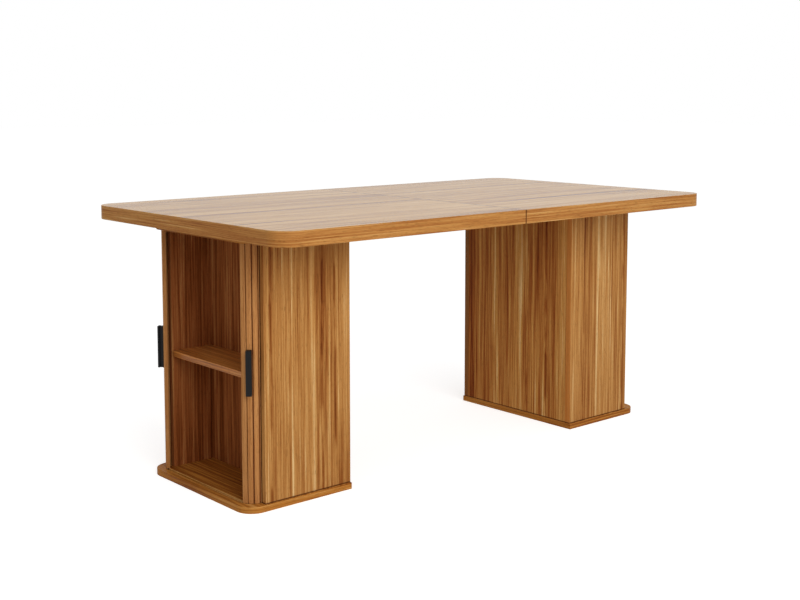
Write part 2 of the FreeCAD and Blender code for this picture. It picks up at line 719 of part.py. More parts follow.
def isHandleEnd(edge):
    level = isLevelAt(edge, place["handleLow"]) or isLevelAt(edge, place["handleHigh"])
    return level and edge.BoundBox.XMax > place["handleTip"] - 1e-4


def handle(name):
    """Bar of I section with two studs through its slat."""
    body = newBody(name)
    sketch = newSketch(body, "XY_Plane", name + "Outline", "places.handleLow")
    outline(sketch, [
        ("sizes.slatRadius", "-places.footSide"),
        ("places.footFace", "-places.footSide"),
        ("places.footFace", "-places.webSide"),
        ("places.faceBack", "-places.webSide"),
        ("places.faceBack", "-places.faceSide"),
        ("places.handleTip", "-places.faceSide", "sizes.handleRound"),
        ("places.handleTip", "places.faceSide", "sizes.handleRound"),
        ("places.faceBack", "places.faceSide"),
        ("places.faceBack", "places.webSide"),
        ("places.footFace", "places.webSide"),
        ("places.footFace", "places.footSide"),
        ("sizes.slatRadius", "places.footSide"),
    ])
    bar = pad(body, sketch, name + "Pad", "sizes.handleLong")
    roundEdges(body, bar, name + "Round", "sizes.handleEndRound", isHandleEnd)
    studs = studSketch(body, name + "Studs", "places.studEnd", "sizes.studRadius")
    pad(body, studs, name + "StudPad", "places.studLong")
    return body


def trackSpot(along, way):
    """Placement of a slat at a distance along the track from the line where the doors meet."""
    onCorner = along - place["arcY"]
    inPocket = onCorner - place["quarter"]
    angle = math.degrees(min(max(onCorner, 0), place["quarter"]) / place["hingeRadius"])
    middle = Vector(place["arcX"] - max(inPocket, 0), way * min(along, place["arcY"]), 0)
    return FreeCAD.Placement(middle, FreeCAD.Rotation(up, way * angle))


def canvas(edge, way):
    """Cloth glued behind the slats, from the joint of the stile to the last slat."""
    start = edge + place["slatPitch"] + size["clothLead"]
    finish = edge + place["doorLong"] - size["clothTail"]
    back = finish - place["arcY"] - place["quarter"]
    inner = place["clothInner"]
    low = place["clothLow"]
    long = place["clothLong"]
    thick = size["clothThick"]
    middle = Vector(place["arcX"], place["arcY"], 0)
    turn = math.degrees(max(start - place["arcY"], 0) / place["hingeRadius"])
    slip = [(inner, low), (inner + thick, low), (inner + thick, low + long), (inner, low + long)]
    corners = [middle + Vector(out, 0, height) for out, height in slip]
    section = Part.Face(Part.makePolygon(corners + corners[:1]))
    section.rotate(middle, up, turn)
    parts = [section.revolve(middle, up, 90 - turn)]
    parts.append(Part.makeBox(back, thick, long, middle + Vector(-back, inner, low)))
    front = place["arcY"] - start
    if front > 0:
        parts.append(Part.makeBox(thick, front, long, middle + Vector(inner, -front, low)))
    cloth = parts[0].fuse(parts[1:]).removeSplitter()
    return cloth if way > 0 else cloth.mirror(Vector(), Vector(0, 1, 0))


slat = tonguedSlat()
doc.recompute()


def slats(edge, way, first, last):
    copies = []
    for number in range(first, last + 1):
        copy = slat.Shape.copy()
        copy.Placement = trackSpot(edge + (number - 0.5) * place["slatPitch"], way)
        copies.append(copy)
    return Part.makeCompound(copies)


def door(prefix, edge, way, spot):
    name = prefix.replace("_", "")
    lead = spot.multiply(trackSpot(edge + place["slatPitch"] / 2, way))
    second = spot.multiply(trackSpot(edge + place["slatPitch"] * 1.5, way))
    curtainEnd = int(size["slatCount"] - size["tailCount"])
    keep(prefix + "glides", shaped(name + "Glides", guidePins()), lead)
    keep(prefix + "stile", stile(name + "Stile"), lead)
    keep(prefix + "handle_slat", handleSlat(name + "HandleSlat"), second)
    keep(prefix + "handle", handle(name + "Handle"), second)
    keep(prefix + "curtain", shaped(name + "Curtain", slats(edge, way, 3, curtainEnd)), spot)
    tail = slats(edge, way, curtainEnd + 1, int(size["slatCount"]))
    keep(prefix + "tail", shaped(name + "Tail", tail), spot)
    keep(prefix + "canvas", shaped(name + "Canvas", canvas(edge, way)), spot)


# The left cabinet stands open, the right one closed.
for side, turn, edge in (("right", 0, place["closedEdge"]), ("left", 180, place["openEdge"])):
    for where, way in zip(ends[side], (-1, 1)):
        door(f"{side}_{where}_", edge, way, turned(turn))

# ---------------------------------------------------------------- export

doc.recompute()
for item in doc.Objects:
    if "Invalid" in item.State or "Error" in item.State:
        raise RuntimeError(f"{item.Name} did not recompute")
for label, item in pieces.items():
    if item.Shape.isNull() or not item.Shape.isValid():
        raise RuntimeError(f"{label} has no valid shape")
os.makedirs("parts", exist_ok=True)
for label, item in pieces.items():
    item.Shape.exportStep(f"parts/{label}.step")
print(len(pieces), "pieces written")
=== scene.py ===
import json
import math

import bmesh
import bpy
from mathutils import Matrix, Vector


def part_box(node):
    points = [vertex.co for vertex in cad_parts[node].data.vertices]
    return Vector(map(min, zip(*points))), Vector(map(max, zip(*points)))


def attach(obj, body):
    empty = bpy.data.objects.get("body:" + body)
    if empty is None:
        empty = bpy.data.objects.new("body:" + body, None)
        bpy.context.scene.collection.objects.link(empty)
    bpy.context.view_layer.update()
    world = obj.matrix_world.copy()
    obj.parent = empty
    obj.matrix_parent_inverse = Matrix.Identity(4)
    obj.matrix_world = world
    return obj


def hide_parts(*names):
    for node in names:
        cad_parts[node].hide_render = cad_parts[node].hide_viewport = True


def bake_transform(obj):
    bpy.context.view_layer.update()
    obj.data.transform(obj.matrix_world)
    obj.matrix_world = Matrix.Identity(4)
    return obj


# Dining table on two pedestals with roller doors. Metres, +Z up, +X along the table.

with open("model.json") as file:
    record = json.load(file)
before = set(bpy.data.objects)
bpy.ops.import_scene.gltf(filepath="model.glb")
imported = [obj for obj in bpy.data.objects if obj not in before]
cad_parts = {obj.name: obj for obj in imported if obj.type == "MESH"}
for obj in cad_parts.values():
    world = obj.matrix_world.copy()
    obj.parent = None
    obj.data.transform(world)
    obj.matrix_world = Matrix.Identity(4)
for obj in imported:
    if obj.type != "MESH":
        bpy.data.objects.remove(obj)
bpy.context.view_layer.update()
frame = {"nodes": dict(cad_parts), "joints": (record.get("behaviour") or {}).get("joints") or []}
nodes = frame["nodes"]
print("frame loaded,", len(nodes), "nodes")

# A roller door is drawn about the corner of its track, and its sizes come from the frame.
slatLow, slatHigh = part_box("right_far_handle_slat")
tailLow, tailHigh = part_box("right_far_tail")
canvasLow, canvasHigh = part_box("right_far_canvas")
backLow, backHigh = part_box("right_back_panel")
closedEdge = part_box("right_far_stile")[0].y
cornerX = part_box("right_side_panel_far")[1].x
slatOuter = slatHigh.x - cornerX
hingeRadius = slatLow.x - cornerX
slatWidth = slatHigh.y - slatLow.y
slatPitch = slatLow.y - closedEdge
slatMidX, slatMidY, slatMidZ = [(low + high) / 2 for low, high in zip(slatLow, slatHigh)]
cornerY = tailHigh.y - slatOuter
quarterTurn = hingeRadius * math.pi / 2
frontShift = slatMidX - (backLow.x + backHigh.x) / 2  # from the door front into the back panel


# Helpers for shader nodes

def fromScreen(red, green, blue):
    # 0 to 255 as on a screen, to the linear colour that a shader takes
    parts = [part / 255 for part in (red, green, blue)]
    linear = [part / 12.92 if part < 0.04 else ((part + 0.055) / 1.055) ** 2.4 for part in parts]
    return tuple(linear) + (1,)


def addNode(tree, kind, **settings):
    node = tree.nodes.new(kind)
    for setting, value in settings.items():
        setattr(node, setting, value)
    return node


def feed(tree, node, socket, source):
    # source is a number, a colour, or the output of another node
    if isinstance(source, bpy.types.NodeSocket):
        tree.links.new(source, node.inputs[socket])
    else:
        node.inputs[socket].default_value = source


def maths(tree, operation, *values):
    node = addNode(tree, "ShaderNodeMath", operation=operation)
    for socket, value in enumerate(values):
        feed(tree, node, socket, value)
    return node.outputs[0]


def between(tree, value, low, high, first=0.0, last=1.0):
    node = addNode(tree, "ShaderNodeMapRange", interpolation_type="SMOOTHSTEP")
    for socket, amount in enumerate((value, low, high, first, last)):
        feed(tree, node, socket, amount)
    return node.outputs[0]


def noise(tree, where, scale, detail=2.0, roughness=0.5, output="Fac"):
    node = addNode(tree, "ShaderNodeTexNoise")
    settings = {"Vector": where, "Scale": scale, "Detail": detail, "Roughness": roughness}
    for socket, value in settings.items():
        feed(tree, node, socket, value)
    return node.outputs[output]


def ramp(tree, value, stops, blend="EASE"):
    node = addNode(tree, "ShaderNodeValToRGB")
    node.color_ramp.interpolation = blend
    elements = node.color_ramp.elements
    for element, (place, colour) in ((elements[0], stops[0]), (elements[-1], stops[-1])):
        element.position = place
        element.color = colour
    for place, colour in stops[1:-1]:
        elements.new(place).color = colour
    feed(tree, node, "Fac", value)
    return node.outputs["Color"]


def mixed(tree, kind, share, first, second, blend="MIX"):
    # the Mix node keeps its sockets for vectors and for colours at other numbers
    socket, result = {"VECTOR": (4, 1), "RGBA": (6, 2)}[kind]
    node = addNode(tree, "ShaderNodeMix", data_type=kind, blend_type=blend)
    feed(tree, node, 0, share)
    feed(tree, node, socket, first)
    feed(tree, node, socket + 1, second)
    return node.outputs[result]


def coordinates(tree, kind="Object"):
    return addNode(tree, "ShaderNodeTexCoord").outputs[kind]


def split(tree, vector):
    parts = addNode(tree, "ShaderNodeSeparateXYZ")
    feed(tree, parts, 0, vector)
    return parts.outputs


def newMaterial(name):
    material = bpy.data.materials.new(name)
    material.use_nodes = True
    tree = material.node_tree
    tree.nodes.clear()
    shader = addNode(tree, "ShaderNodeBsdfPrincipled")
    output = addNode(tree, "ShaderNodeOutputMaterial")
    tree.links.new(shader.outputs[0], output.inputs["Surface"])
    return material, tree, shader


def bump(tree, shader, height, strength, distance):
    node = addNode(tree, "ShaderNodeBump")
    for socket, value in {"Height": height, "Strength": strength, "Distance": distance}.items():
        feed(tree, node, socket, value)
    tree.links.new(node.outputs[0], shader.inputs["Normal"])


# Wood. A layer of grain is (size across, length along, share of the tone), in metres.

seedSpread = (1, 1.7, 2.3)
seedSteps = {"veins": 5, "pores": 6, "fade": 9}
plateFace = 0.6  # faces whose normal rises more than this take the grain of a plate's faces


def layerSpace(tree, where, grain, across, along, seed):
    mapping = addNode(tree, "ShaderNodeMapping")
    feed(tree, mapping, "Vector", where)
    feed(tree, mapping, "Location", tuple(seed * spread for spread in seedSpread))
    feed(tree, mapping, "Scale", tuple(1 / (along if axis in grain else across) for axis in "XYZ"))
    return mapping.outputs[0]


def grainLayer(tree, where, finish, across, along, seed):
    # on a plate the grain of the faces and that of the edges run apart
    face = layerSpace(tree, where, finish["grain"], across, along, seed)
    if finish.get("edgeGrain"):
        edge = layerSpace(tree, where, finish["edgeGrain"], across, along, seed)
        rise = maths(tree, "ABSOLUTE", split(tree, coordinates(tree, "Normal"))["Z"])
        face = mixed(tree, "VECTOR", maths(tree, "GREATER_THAN", rise, plateFace), edge, face)
    return noise(tree, face, 1.0, finish["detail"], finish["harshness"])


def bentSpace(tree, finish):
    # object coordinates with a slow wander across the grain
    source = coordinates(tree)
    bent = addNode(tree, "ShaderNodeVectorMath", operation="MULTIPLY_ADD")
    feed(tree, bent, 0, noise(tree, source, 1 / finish["wanderLength"], detail=1, output="Color"))
    feed(tree, bent, 1, (finish["wander"],) * 3)
    feed(tree, bent, 2, source)
    centred = addNode(tree, "ShaderNodeVectorMath", operation="SUBTRACT")
    feed(tree, centred, 0, bent.outputs[0])
    feed(tree, centred, 1, (finish["wander"] / 2,) * 3)
    return centred.outputs[0]


streakFade = {"size": (0.03, 0.12), "from": 0.38, "to": 0.56, "faintest": 0.15}


def awayFrom(tree, parts, line):
    return maths(tree, "ABSOLUTE", maths(tree, "SUBTRACT", parts[line["across"]], line["place"]))


def figureAndPaintedLight(tree, where, finish):
    # streaks listed one by one, with painted highlights and painted shade among them: each lifts or
    # sinks the tone near one line across the board
    total = 0.0
    parts = split(tree, where)
    fade = grainLayer(tree, where, finish, *streakFade["size"], finish["seed"] + seedSteps["fade"])
    shown = between(tree, fade, streakFade["from"], streakFade["to"], streakFade["faintest"], 1.0)
    for line in finish["figureAndPaintedLight"]:
        away = awayFrom(tree, parts, line)
        lift = between(tree, away, 0.0, line["wide"], line["tone"], 0.0)
        if line.get("fades"):
            lift = maths(tree, "MULTIPLY", lift, shown)
        total = maths(tree, "ADD", lift, total)
    return total


def trackHighlightAndShade(tree, rim):
    # painted highlight: a pale rim on the inner side of the door track, for the lit edge of its
    # groove; and painted shade: the darker floor that it encloses
    parts = split(tree, coordinates(tree))
    corner = addNode(tree, "ShaderNodeCombineXYZ")
    for axis, start in (("X", cornerX), ("Y", cornerY)):
        beyond = maths(tree, "SUBTRACT", maths(tree, "ABSOLUTE", parts[axis]), start)
        feed(tree, corner, axis, maths(tree, "MAXIMUM", beyond, 0.0))
    length = addNode(tree, "ShaderNodeVectorMath", operation="LENGTH")
    feed(tree, length, 0, corner.outputs[0])
    away = maths(tree, "SUBTRACT", length.outputs["Value"], rim["radius"])
    line = between(tree, maths(tree, "ABSOLUTE", away), rim["wide"] / 2, rim["wide"], rim["tone"], 0.0)
    inside = between(tree, away, -rim["wide"], 0.0, rim["inside"], 0.0)
    shown = maths(tree, "GREATER_THAN", maths(tree, "ABSOLUTE", parts["X"]), rim["from"])
    return maths(tree, "MULTIPLY", maths(tree, "ADD", line, inside), shown)


def grainTone(tree, where, finish):
    # 0 is the darkest wood and 1 the palest; the finest layer also steers gloss and relief
    tone = 0.5
    for number, (across, along, share) in enumerate(finish["layers"]):
        layer = grainLayer(tree, where, finish, across, along, finish["seed"] + number)
        tone = maths(tree, "ADD", tone, maths(tree, "MULTIPLY_ADD", layer, share, -share / 2))
    veins = grainLayer(tree, where, finish, *finish["veinSize"], finish["seed"] + seedSteps["veins"])
    for low, high, lift in finish["veins"]:
        tone = maths(tree, "ADD", tone, between(tree, veins, low, high, 0.0, lift))
    # grain streaks, with some painted highlights and painted shade among them
    if finish.get("figureAndPaintedLight"):
        tone = maths(tree, "ADD", tone, figureAndPaintedLight(tree, where, finish))
    # painted highlight along the door track and painted shade on the floor inside it
    if finish.get("rim"):
        tone = maths(tree, "ADD", tone, trackHighlightAndShade(tree, finish["rim"]))
    # painted shade on the slat faces in the grooves between slats
    if finish.get("groove"):
        sides = addNode(tree, "ShaderNodeAttribute", attribute_name="groove")
        tone = maths(tree, "MULTIPLY_ADD", sides.outputs["Fac"], finish["groove"], tone)
    return tone, layer


def jointLinesAndPaintedLight(tree, colour, finish):
    # thin lines where this part meets another: real seams, painted shade along some joints and a
    # painted highlight along one
    for line in finish.get("joints", []):
        away = awayFrom(tree, split(tree, coordinates(tree)), line)
        share = between(tree, away, line["wide"] / 2, line["wide"], line["depth"], 0.0)
        shade = fromScreen(*line.get("colour", finish["poreColour"]))
        colour = mixed(tree, "RGBA", share, colour, shade)
    return colour


def wood(name, finish):
    material, tree, shader = newMaterial(name)
    where = bentSpace(tree, finish)
    tone, layer = grainTone(tree, where, finish)
    colour = ramp(tree, tone, [(place, fromScreen(*shade)) for place, shade in finish["tones"]])
    pores = grainLayer(tree, where, finish, *finish["poreSize"], finish["seed"] + seedSteps["pores"])
    pores = between(tree, pores, *finish["poreRange"])
    share = maths(tree, "MULTIPLY", pores, finish["poreShade"])
    colour = mixed(tree, "RGBA", share, colour, fromScreen(*finish["poreColour"]), "MULTIPLY")
    tree.links.new(jointLinesAndPaintedLight(tree, colour, finish), shader.inputs["Base Color"])

    smoothest = finish["roughness"] - finish["roughDrift"] / 2
    rough = maths(tree, "MULTIPLY_ADD", layer, finish["roughDrift"], smoothest)
    rough = maths(tree, "MULTIPLY_ADD", pores, finish["poreRough"], rough)
    tree.links.new(rough, shader.inputs["Roughness"])
    feed(tree, shader, "Specular IOR Level", finish["gloss"])
    height = maths(tree, "MULTIPLY", layer, finish["grainDepth"])
    height = maths(tree, "MULTIPLY_ADD", pores, -finish["poreDepth"], height)
    bump(tree, shader, height, finish["bump"], finish["relief"])
    return material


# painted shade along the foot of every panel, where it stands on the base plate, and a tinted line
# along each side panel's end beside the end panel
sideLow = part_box("right_side_panel_near")[0]
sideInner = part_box("left_side_panel_near")[1].y
footShade = {"across": "Z", "place": sideLow.z - 0.0005, "wide": 0.005, "depth": 0.9}
endEdgeTint = {"across": "X", "place": sideLow.x, "wide": 0.0014}

cabinetFinish = {
    "grain": "Z",
    "seed": 3.1,
    "wander": 0.006,
    "wanderLength": 0.4,
    "detail": 2,
    "harshness": 0.55,
    "layers": [
        (0.050, 0.90, 0.60),
        (0.013, 0.60, 0.80),
        (0.0050, 0.38, 0.95),
        (0.0022, 0.16, 0.70),
    ],
    "veinSize": (0.011, 1.2),
    "veins": [(0.64, 0.72, 0.10), (0.36, 0.28, -0.22)],
    "tones": [
        (0.0, (100, 46, 14)),
        (0.25, (138, 80, 34)),
        (0.5, (170, 116, 60)),
        (0.72, (190, 138, 78)),
        (1.0, (218, 181, 126)),
    ],
    "poreSize": (0.0009, 0.018),
    "poreRange": (0.58, 0.68),
    "poreShade": 0.45,
    "poreColour": (84, 46, 20),
    "poreRough": 0.1,
    "poreDepth": 0.8,
    "grainDepth": 0.5,
    "roughness": 0.45,
    "roughDrift": 0.12,
    "gloss": 0.04,
    "bump": 0.12,
    "relief": 0.0004,
}
leftPanelFinish = cabinetFinish | {
    "joints": [
        footShade,
        # painted shade: a near-black line on the panel's front edge where the slats pass behind it
        # into the pocket
        {"across": "Y", "place": sideInner, "wide": 0.005, "depth": 1.0, "colour": (46, 18, 4)},
    ],
    "figureAndPaintedLight": [
        # painted highlight: a pale line 3 mm in from the panel's front edge, for light on its arris
        {"across": "X", "place": -0.7382, "wide": 0.0022, "tone": 0.22},
        {"across": "X", "place": -0.729, "wide": 0.007, "tone": 0.18},
        {"across": "X", "place": -0.720, "wide": 0.008, "tone": -0.34, "fades": True},
        {"across": "X", "place": -0.660, "wide": 0.008, "tone": -0.18, "fades": True},
        {"across": "X", "place": -0.651, "wide": 0.0035, "tone": 0.34},
        {"across": "X", "place": -0.583, "wide": 0.014, "tone": 0.22},
        {"across": "X", "place": -0.587, "wide": 0.0022, "tone": 0.18},
        {"across": "X", "place": -0.552, "wide": 0.006, "tone": -0.3, "fades": True},
        {"across": "X", "place": -0.527, "wide": 0.002, "tone": 0.22},
        {"across": "X", "place": -0.507, "wide": 0.008, "tone": -0.3, "fades": True},
    ],
}
rightPanelFinish = cabinetFinish | {
    # painted highlight: the side panel's end beside the end panel tinted pale orange, as if lit
    "joints": [endEdgeTint | {"depth": 0.6, "colour": (206, 128, 58)}, footShade],
    "figureAndPaintedLight": [
        # painted highlight: a pale line 3 mm in from the panel's front edge, for light on its arris
        {"across": "X", "place": 0.7382, "wide": 0.0022, "tone": 0.22},
        {"across": "X", "place": 0.620, "wide": 0.055, "tone": 0.24},
        {"across": "X", "place": 0.474, "wide": 0.010, "tone": 0.08},
        {"across": "X", "place": 0.522, "wide": 0.006, "tone": -0.25, "fades": True},
        {"across": "X", "place": 0.588, "wide": 0.009, "tone": 0.25},
        {"across": "X", "place": 0.592, "wide": 0.002, "tone": 0.25},
        {"across": "X", "place": 0.658, "wide": 0.0035, "tone": 0.34},
        {"across": "X", "place": 0.720, "wide": 0.012, "tone": -0.25, "fades": True},
    ],
}
farPanelFinish = cabinetFinish | {
    "joints": [endEdgeTint | {"depth": 0.7, "colour": (112, 62, 28)}, footShade],
}
# a copy of the cabinet wood with warmer, more saturated tones: painted warm light, the colour this
# face shows while in shade
endPanelShadedFinish = cabinetFinish | {
    "seed": 6.4,
    "layers": [
        (0.060, 0.90, 0.80),
        (0.016, 0.60, 0.85),
        (0.0050, 0.38, 1.10),
        (0.0022, 0.16, 0.80),
    ],
    "tones": [
        (0.0, (114, 51, 14)),
        (0.25, (154, 87, 36)),
        (0.5, (183, 121, 59)),
        (0.72, (206, 150, 80)),
        (1.0, (232, 197, 138)),
    ],
    "joints": [footShade],
    "figureAndPaintedLight": [
        # painted light and shade: lighter over the near edge of the end panel and darker over its far
        # half
        {"across": "Y", "place": -0.227, "wide": 0.10, "tone": 0.12},
        {"across": "Y", "place": 0.227, "wide": 0.20, "tone": -0.12},
        {"across": "Y", "place": 0.215, "wide": 0.016, "tone": -0.30},
        {"across": "Y", "place": 0.100, "wide": 0.0035, "tone": 0.42},
        {"across": "Y", "place": 0.090, "wide": 0.014, "tone": 0.12},
        {"across": "Y", "place": -0.024, "wide": 0.016, "tone": 0.24},
        {"across": "Y", "place": -0.054, "wide": 0.007, "tone": -0.28, "fades": True},
        {"across": "Y", "place": -0.137, "wide": 0.010, "tone": -0.45, "fades": True},
        {"across": "Y", "place": -0.160, "wide": 0.040, "tone": -0.22},
    ],
}
innerFinish = cabinetFinish | {
    "seed": 12.6,
    "layers": [
        (0.050, 0.90, 0.60),
        (0.013, 0.60, 1.10),
        (0.0060, 0.38, 1.30),
        (0.0022, 0.16, 0.80),
    ],
    "tones": [
        (0.0, (88, 38, 12)),
        (0.3, (122, 64, 28)),
        (0.55, (156, 90, 46)),
        (1.0, (190, 134, 80)),
    ],
}
shelfFinish = innerFinish | {
    "grain": "Y",
    "seed": 17.9,
    "tones": [
        (0.0, (110, 55, 18)),
        (0.3, (156, 92, 40)),
        (0.55, (190, 121, 57)),
        (1.0, (214, 160, 94)),
    ],
    "roughness": 0.32,
    "gloss": 0.12,
}
plateFinish = cabinetFinish | {
    "grain": "Y",
    "edgeGrain": "XY",
    "seed": 22.4,
    "tones": [
        (0.0, (98, 44, 14)),
        (0.3, (142, 82, 30)),
        (0.55, (180, 118, 50)),
        (1.0, (220, 172, 104)),
    ],
    # painted highlight along the door track, and painted shade on the floor inside it
    "rim": {"radius": 0.0300, "wide": 0.0018, "tone": 0.55, "inside": -0.14, "from": 0.620},
}
slatFinish = cabinetFinish | {
    "seed": 35.2,
    "layers": [
        (0.030, 1.20, 0.5),
        (0.009, 0.40, 0.5),
        (0.0030, 0.15, 0.5),
        (0.0012, 0.05, 0.4),
    ],
    "veins": [],
    "tones": [
        (0.0, (102, 47, 16)),
        (0.15, (132, 74, 35)),
        (0.4, (171, 115, 64)),
        (0.6, (189, 133, 79)),
        (1.0, (210, 163, 111)),
    ],
    # painted shade on the faces that look into the grooves between slats
    "groove": -0.27,
}
bandFinish = cabinetFinish | {
    "grain": "XY",
    "seed": 40.2,
    "wander": 0.003,
    "layers": [
        (0.014, 0.90, 0.5),
        (0.0050, 0.45, 0.9),
        (0.0022, 0.25, 1.1),
        (0.0010, 0.08, 0.6),
    ],
    "veins": [],
    "tones": [
        (0.0, (118, 60, 25)),
        (0.35, (163, 104, 51)),
        (0.6, (184, 129, 68)),
        (1.0, (216, 172, 111)),
    ],
    "joints": [{"across": "X", "place": 0.0, "wide": 0.003, "depth": 0.9}],
}
topFinish = cabinetFinish | {
    "grain": "X",
    "seed": 51.3,
    "wander": 0.07,
    "wanderLength": 0.9,
    "layers": [
        (0.110, 2.40, 0.45),
        (0.034, 1.60, 0.85),
        (0.0100, 0.90, 1.1),
        (0.0030, 0.30, 0.7),
    ],
    "veinSize": (0.03, 3.0),
    "tones": [
        (0.0, (110, 66, 28)),
        (0.3, (162, 114, 62)),
        (0.55, (198, 152, 90)),
        (1.0, (226, 188, 130)),
    ],
    "roughness": 0.22,
    "roughDrift": 0.06,
    "gloss": 0.06,
    "bump": 0.05,
    "joints": [{"across": "X", "place": 0.0, "wide": 0.004, "depth": 0.95}],
}
topLeftFinish = topFinish | {
    "figureAndPaintedLight": [
        {"across": "Y", "place": -0.030, "wide": 0.007, "tone": -0.55, "fades": True},
        {"across": "Y", "place": -0.022, "wide": 0.030, "tone": -0.18},
        {"across": "Y", "place": 0.150, "wide": 0.012, "tone": -0.30, "fades": True},
        {"across": "Y", "place": -0.250, "wide": 0.008, "tone": -0.25, "fades": True},
    ],
}
topRightFinish = topFinish | {
    "seed": 66.1,
    "figureAndPaintedLight": [
        {"across": "Y", "place": -0.250, "wide": 0.006, "tone": -0.5, "fades": True},
        {"across": "Y", "place": -0.238, "wide": 0.030, "tone": -0.18},
        {"across": "Y", "place": 0.020, "wide": 0.010, "tone": -0.4, "fades": True},
        {"across": "Y", "place": 0.190, "wide": 0.012, "tone": -0.3, "fades": True},
    ],
}


# Paint, metal and cloth

handleFinish = {
    "colour": (13, 12, 12),
    "metallic": 0.0,
    "roughness": 0.5,
    "gloss": 0.2,
    "grain": 900.0,
    "bump": 0.12,
}
railFinish = {
    "colour": (28, 28, 29),
    "metallic": 0.0,
    "roughness": 0.45,
    "gloss": 0.4,
    "grain": 1400.0,
    "bump": 0.2,
}
steelFinish = {
    "colour": (176, 178, 182),
    "metallic": 1.0,
    "roughness": 0.32,
    "gloss": 0.5,
    "grain": 600.0,
    "bump": 0.05,
}
paintDetail = {"blotch": 25, "deep": 0.88, "spread": (0.3, 0.7), "roughDrift": 0.16, "relief": 0.0002}


def paint(name, finish):
    # fine orange peel under a slightly uneven gloss
    material, tree, shader = newMaterial(name)
    where = coordinates(tree)
    peel = noise(tree, where, finish["grain"])
    blotch = noise(tree, where, finish["grain"] / paintDetail["blotch"])
    low, high = paintDetail["spread"]
    deep = fromScreen(*[part * paintDetail["deep"] for part in finish["colour"]])
    colour = ramp(tree, blotch, [(low, deep), (high, fromScreen(*finish["colour"]))])
    tree.links.new(colour, shader.inputs["Base Color"])
    drift = paintDetail["roughDrift"]
    rough = maths(tree, "MULTIPLY_ADD", blotch, drift, finish["roughness"] - drift / 2)
    tree.links.new(rough, shader.inputs["Roughness"])
    feed(tree, shader, "Metallic", finish["metallic"])
    feed(tree, shader, "Specular IOR Level", finish["gloss"])
    bump(tree, shader, peel, finish["bump"], paintDetail["relief"])
    return material


canvasFinish = {
    "thread": 0.0011,
    "tones": [(0.1, (120, 102, 76)), (0.8, (196, 178, 146))],
    "roughness": 0.9,
    "bump": 0.4,
    "relief": 0.0003,
}


def weave(name, finish):
    # plain weave: one set of threads upright, the other along the door
    material, tree, shader = newMaterial(name)
    parts = split(tree, coordinates(tree))
    turns = math.pi / finish["thread"]
    along = maths(tree, "ADD", parts["X"], parts["Y"])
    warp = maths(tree, "SINE", maths(tree, "MULTIPLY", along, turns))
    weft = maths(tree, "SINE", maths(tree, "MULTIPLY", parts["Z"], turns))
    height = maths(tree, "MULTIPLY_ADD", maths(tree, "MULTIPLY", warp, weft), 0.5, 0.5)
    colour = ramp(tree, height, [(place, fromScreen(*shade)) for place, shade in finish["tones"]])
    tree.links.new(colour, shader.inputs["Base Color"])
    feed(tree, shader, "Roughness", finish["roughness"])
    bump(tree, shader, height, finish["bump"], finish["relief"])
    return material


finishes = {
    "cabinetWood": (wood, cabinetFinish),
    "leftPanelWood": (wood, leftPanelFinish),
    "rightPanelWood": (wood, rightPanelFinish),
    "farPanelWood": (wood, farPanelFinish),
    "endPanelShadedWood": (wood, endPanelShadedFinish),
    "innerWood": (wood, innerFinish),
    "shelfWood": (wood, shelfFinish),
    "plateWood": (wood, plateFinish),
    "slatWood": (wood, slatFinish),
    "bandWood": (wood, bandFinish),
    "topLeftWood": (wood, topLeftFinish),
    "topRightWood": (wood, topRightFinish),
    "handleBlack": (paint, handleFinish),
    "railPaint": (paint, railFinish),
    "screwSteel": (paint, steelFinish),
    "canvasCloth": (weave, canvasFinish),
}
materials = {name: make(name, finish) for name, (make, finish) in finishes.items()}

# The first entry whose words are in a node's name gives its material.
nodeMaterials = [
    ("back_panel", "innerWood"),
    ("left_side_panel_near", "leftPanelWood"),
    ("right_side_panel_near", "rightPanelWood"),
    ("side_panel_far", "farPanelWood"),
    ("right_end_panel", "endPanelShadedWood"),
    ("top_board_left", "topLeftWood"),
    ("top_board_right", "topRightWood"),
    ("edge_band", "bandWood"),
    ("base_plate", "plateWood"),
    ("cabinet_top", "plateWood"),
    ("panel", "cabinetWood"),
    ("shelf_pins", "screwSteel"),
    ("shelf", "shelfWood"),
    ("liner", "innerWood"),
    ("handle_slat", "slatWood"),
    ("handle", "handleBlack"),
    ("stile", "slatWood"),
    ("tail", "slatWood"),
    ("curtain", "slatWood"),
    ("dowels", "slatWood"),
    ("canvas", "canvasCloth"),
    ("rail_screws", "screwSteel"),
    ("rail", "railPaint"),
    ("screws", "screwSteel"),
    ("glides", "screwSteel"),
]
for name, node in nodes.items():
    fitting = [material for part, material in nodeMaterials if part in name]
    node.data.materials.clear()
    node.data.materials.append(materials[fitting[0]])
print("materials given to the frame's nodes")


# Helpers for modelling

touching = 1e-5  # places closer than this are the same
facing = 0.9  # a normal with more than this along an axis faces that way


def startPiece(name, centre, sizes):
    # a block at its size and place, ready to be shaped in edit mode
    bpy.ops.object.select_all(action="DESELECT")
    bpy.ops.mesh.primitive_cube_add(size=1, location=centre)
    piece = bpy.context.object
    piece.name = name
    piece.data.name = name
    piece.scale = sizes
    bpy.ops.object.transform_apply(location=True, rotation=True, scale=True)
    return piece


def pick(kind, wanted):
    # selects the faces, edges or vertices for which wanted(item) holds, and nothing else
    bpy.ops.mesh.select_mode(type=kind)
    bpy.ops.mesh.select_all(action="DESELECT")
    shape = bmesh.from_edit_mesh(bpy.context.object.data)
    for item in {"FACE": shape.faces, "EDGE": shape.edges, "VERT": shape.verts}[kind]:
        if wanted(item):
            item.select_set(True)
    shape.select_flush_mode()
    bmesh.update_edit_mesh(bpy.context.object.data)


def near(first, second):
    return abs(first - second) < touching


def allAt(item, axis, place):
    # an edge or a face whose corners all lie at one place on an axis
    return all(near(getattr(corner.co, axis), place) for corner in item.verts)


